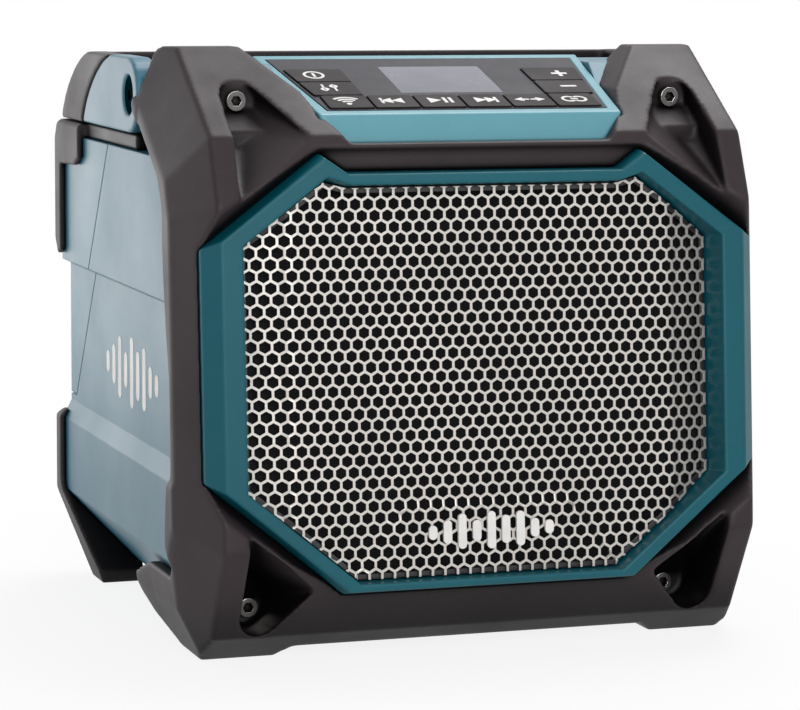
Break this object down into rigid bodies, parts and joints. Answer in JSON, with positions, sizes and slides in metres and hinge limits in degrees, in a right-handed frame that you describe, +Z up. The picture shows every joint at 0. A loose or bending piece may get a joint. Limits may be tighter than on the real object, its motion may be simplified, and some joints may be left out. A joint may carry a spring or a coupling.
{
  "type": "jobsite speaker",
  "caption": "Rugged portable jobsite speaker with corner bumpers, hex-perforated front grille, sloped key console, swing-up carry handle, hinged battery cover and rear connections.",
  "frame": {"origin": "middle of the footprint on the floor", "axes": "+X to the object's left seen from behind (right seen from the front), -Y out of the grille, +Z up"},
  "size_m": [0.268, 0.25, 0.258],
  "materials": {
    "teal_side": "satin moulded plastic",
    "teal_trim": "satin moulded plastic",
    "black_rubber": "matt elastomer",
    "mesh_steel": "silver powder coat",
    "cloth": "black acoustic cloth",
    "black_plastic": "matt black",
    "driver_metal": "black paint",
    "cone_paper": "coated cone",
    "roll_rubber": "soft rubber",
    "panel_dark": "dark panel",
    "key_rubber": "matt key",
    "lens": "grey display window",
    "board_green": "solder mask",
    "steel": "plated steel",
    "brass": "plated contact"
  },
  "bodies": {
    "housing": {"main_housing": "teal_side", "rear_housing": "teal_side", "front_frame": "black_rubber", "bezel": "teal_trim", "grille": "mesh_steel", "grille_cloth": "cloth", "baffle": "black_plastic", "woofer_frame": "driver_metal", "woofer_magnet": "driver_metal", "woofer_cone": "cone_paper", "woofer_surround": "roll_rubber", "dust_cap": "cone_paper", "tweeter": "black_plastic", "console": "teal_trim", "panel_plate": "panel_dark", "display_lens": "lens", "display_module": "board_green", "key_mat": "key_rubber", "control_board": "board_green", "pivot_screws": "steel", "upper_bumper_left": "black_rubber", "upper_bumper_right": "black_rubber", "lower_bumper_left": "black_rubber", "lower_bumper_right": "black_rubber", "frame_screws": "steel", "battery_bay": "black_plastic", "terminal_block": "black_plastic", "terminal_blades": "brass", "cover_pin": "steel", "amplifier_board": "board_green", "power_inlet": "black_plastic", "audio_jack": "black_plastic", "port_pin": "steel"},
    "handle": {"handle_frame": "teal_trim", "handle_grip": "black_rubber"},
    "battery_cover": {"battery_cover": "teal_side", "cover_seal": "black_rubber", "latch_pin": "steel"},
    "cover_latch": {"cover_latch": "black_plastic"},
    "port_cover": {"port_cover": "black_rubber"},
    "key_power": {"key_power": "key_rubber"},
    "key_sound": {"key_sound": "key_rubber"},
    "key_wireless": {"key_wireless": "key_rubber"},
    "key_previous": {"key_previous": "key_rubber"},
    "key_play": {"key_play": "key_rubber"},
    "key_next": {"key_next": "key_rubber"},
    "key_channel": {"key_channel": "key_rubber"},
    "key_link": {"key_link": "key_rubber"},
    "key_plus": {"key_plus": "key_rubber"},
    "key_minus": {"key_minus": "key_rubber"}
  },
  "joints": [
    {"name": "handle_hinge", "type": "hinge", "parent": "housing", "child": "handle", "pos_m": [0, -0.012, 0.236], "axis": [1, 0, 0], "range_deg": [0, 90]},
    {"name": "cover_hinge", "type": "hinge", "parent": "housing", "child": "battery_cover", "pos_m": [0, 0.1219, 0.093], "axis": [-1, 0, 0], "range_deg": [0, 95]},
    {"name": "latch_hinge", "type": "hinge", "parent": "battery_cover", "child": "cover_latch", "pos_m": [0, 0.1222, 0.187], "axis": [-1, 0, 0], "range_deg": [0, 60]},
    {"name": "port_hinge", "type": "hinge", "parent": "housing", "child": "port_cover", "pos_m": [0.062, 0.1219, 0.037], "axis": [-1, 0, 0], "range_deg": [0, 110]},
    {"name": "power_press", "type": "slide", "parent": "housing", "child": "key_power", "axis": [0, 0.2823, -0.9593], "range_m": [0, 0.001], "stiffness_N_per_m": 1500},
    {"name": "sound_press", "type": "slide", "parent": "housing", "child": "key_sound", "axis": [0, 0.2823, -0.9593], "range_m": [0, 0.001], "stiffness_N_per_m": 1500},
    {"name": "wireless_press", "type": "slide", "parent": "housing", "child": "key_wireless", "axis": [0, 0.2823, -0.9593], "range_m": [0, 0.001], "stiffness_N_per_m": 1500},
    {"name": "previous_press", "type": "slide", "parent": "housing", "child": "key_previous", "axis": [0, 0.2823, -0.9593], "range_m": [0, 0.001], "stiffness_N_per_m": 1500},
    {"name": "play_press", "type": "slide", "parent": "housing", "child": "key_play", "axis": [0, 0.2823, -0.9593], "range_m": [0, 0.001], "stiffness_N_per_m": 1500},
    {"name": "next_press", "type": "slide", "parent": "housing", "child": "key_next", "axis": [0, 0.2823, -0.9593], "range_m": [0, 0.001], "stiffness_N_per_m": 1500},
    {"name": "channel_press", "type": "slide", "parent": "housing", "child": "key_channel", "axis": [0, 0.2823, -0.9593], "range_m": [0, 0.001], "stiffness_N_per_m": 1500},
    {"name": "link_press", "type": "slide", "parent": "housing", "child": "key_link", "axis": [0, 0.2823, -0.9593], "range_m": [0, 0.001], "stiffness_N_per_m": 1500},
    {"name": "plus_press", "type": "slide", "parent": "housing", "child": "key_plus", "axis": [0, 0.2823, -0.9593], "range_m": [0, 0.001], "stiffness_N_per_m": 1500},
    {"name": "minus_press", "type": "slide", "parent": "housing", "child": "key_minus", "axis": [0, 0.2823, -0.9593], "range_m": [0, 0.001], "stiffness_N_per_m": 1500}
  ]
}
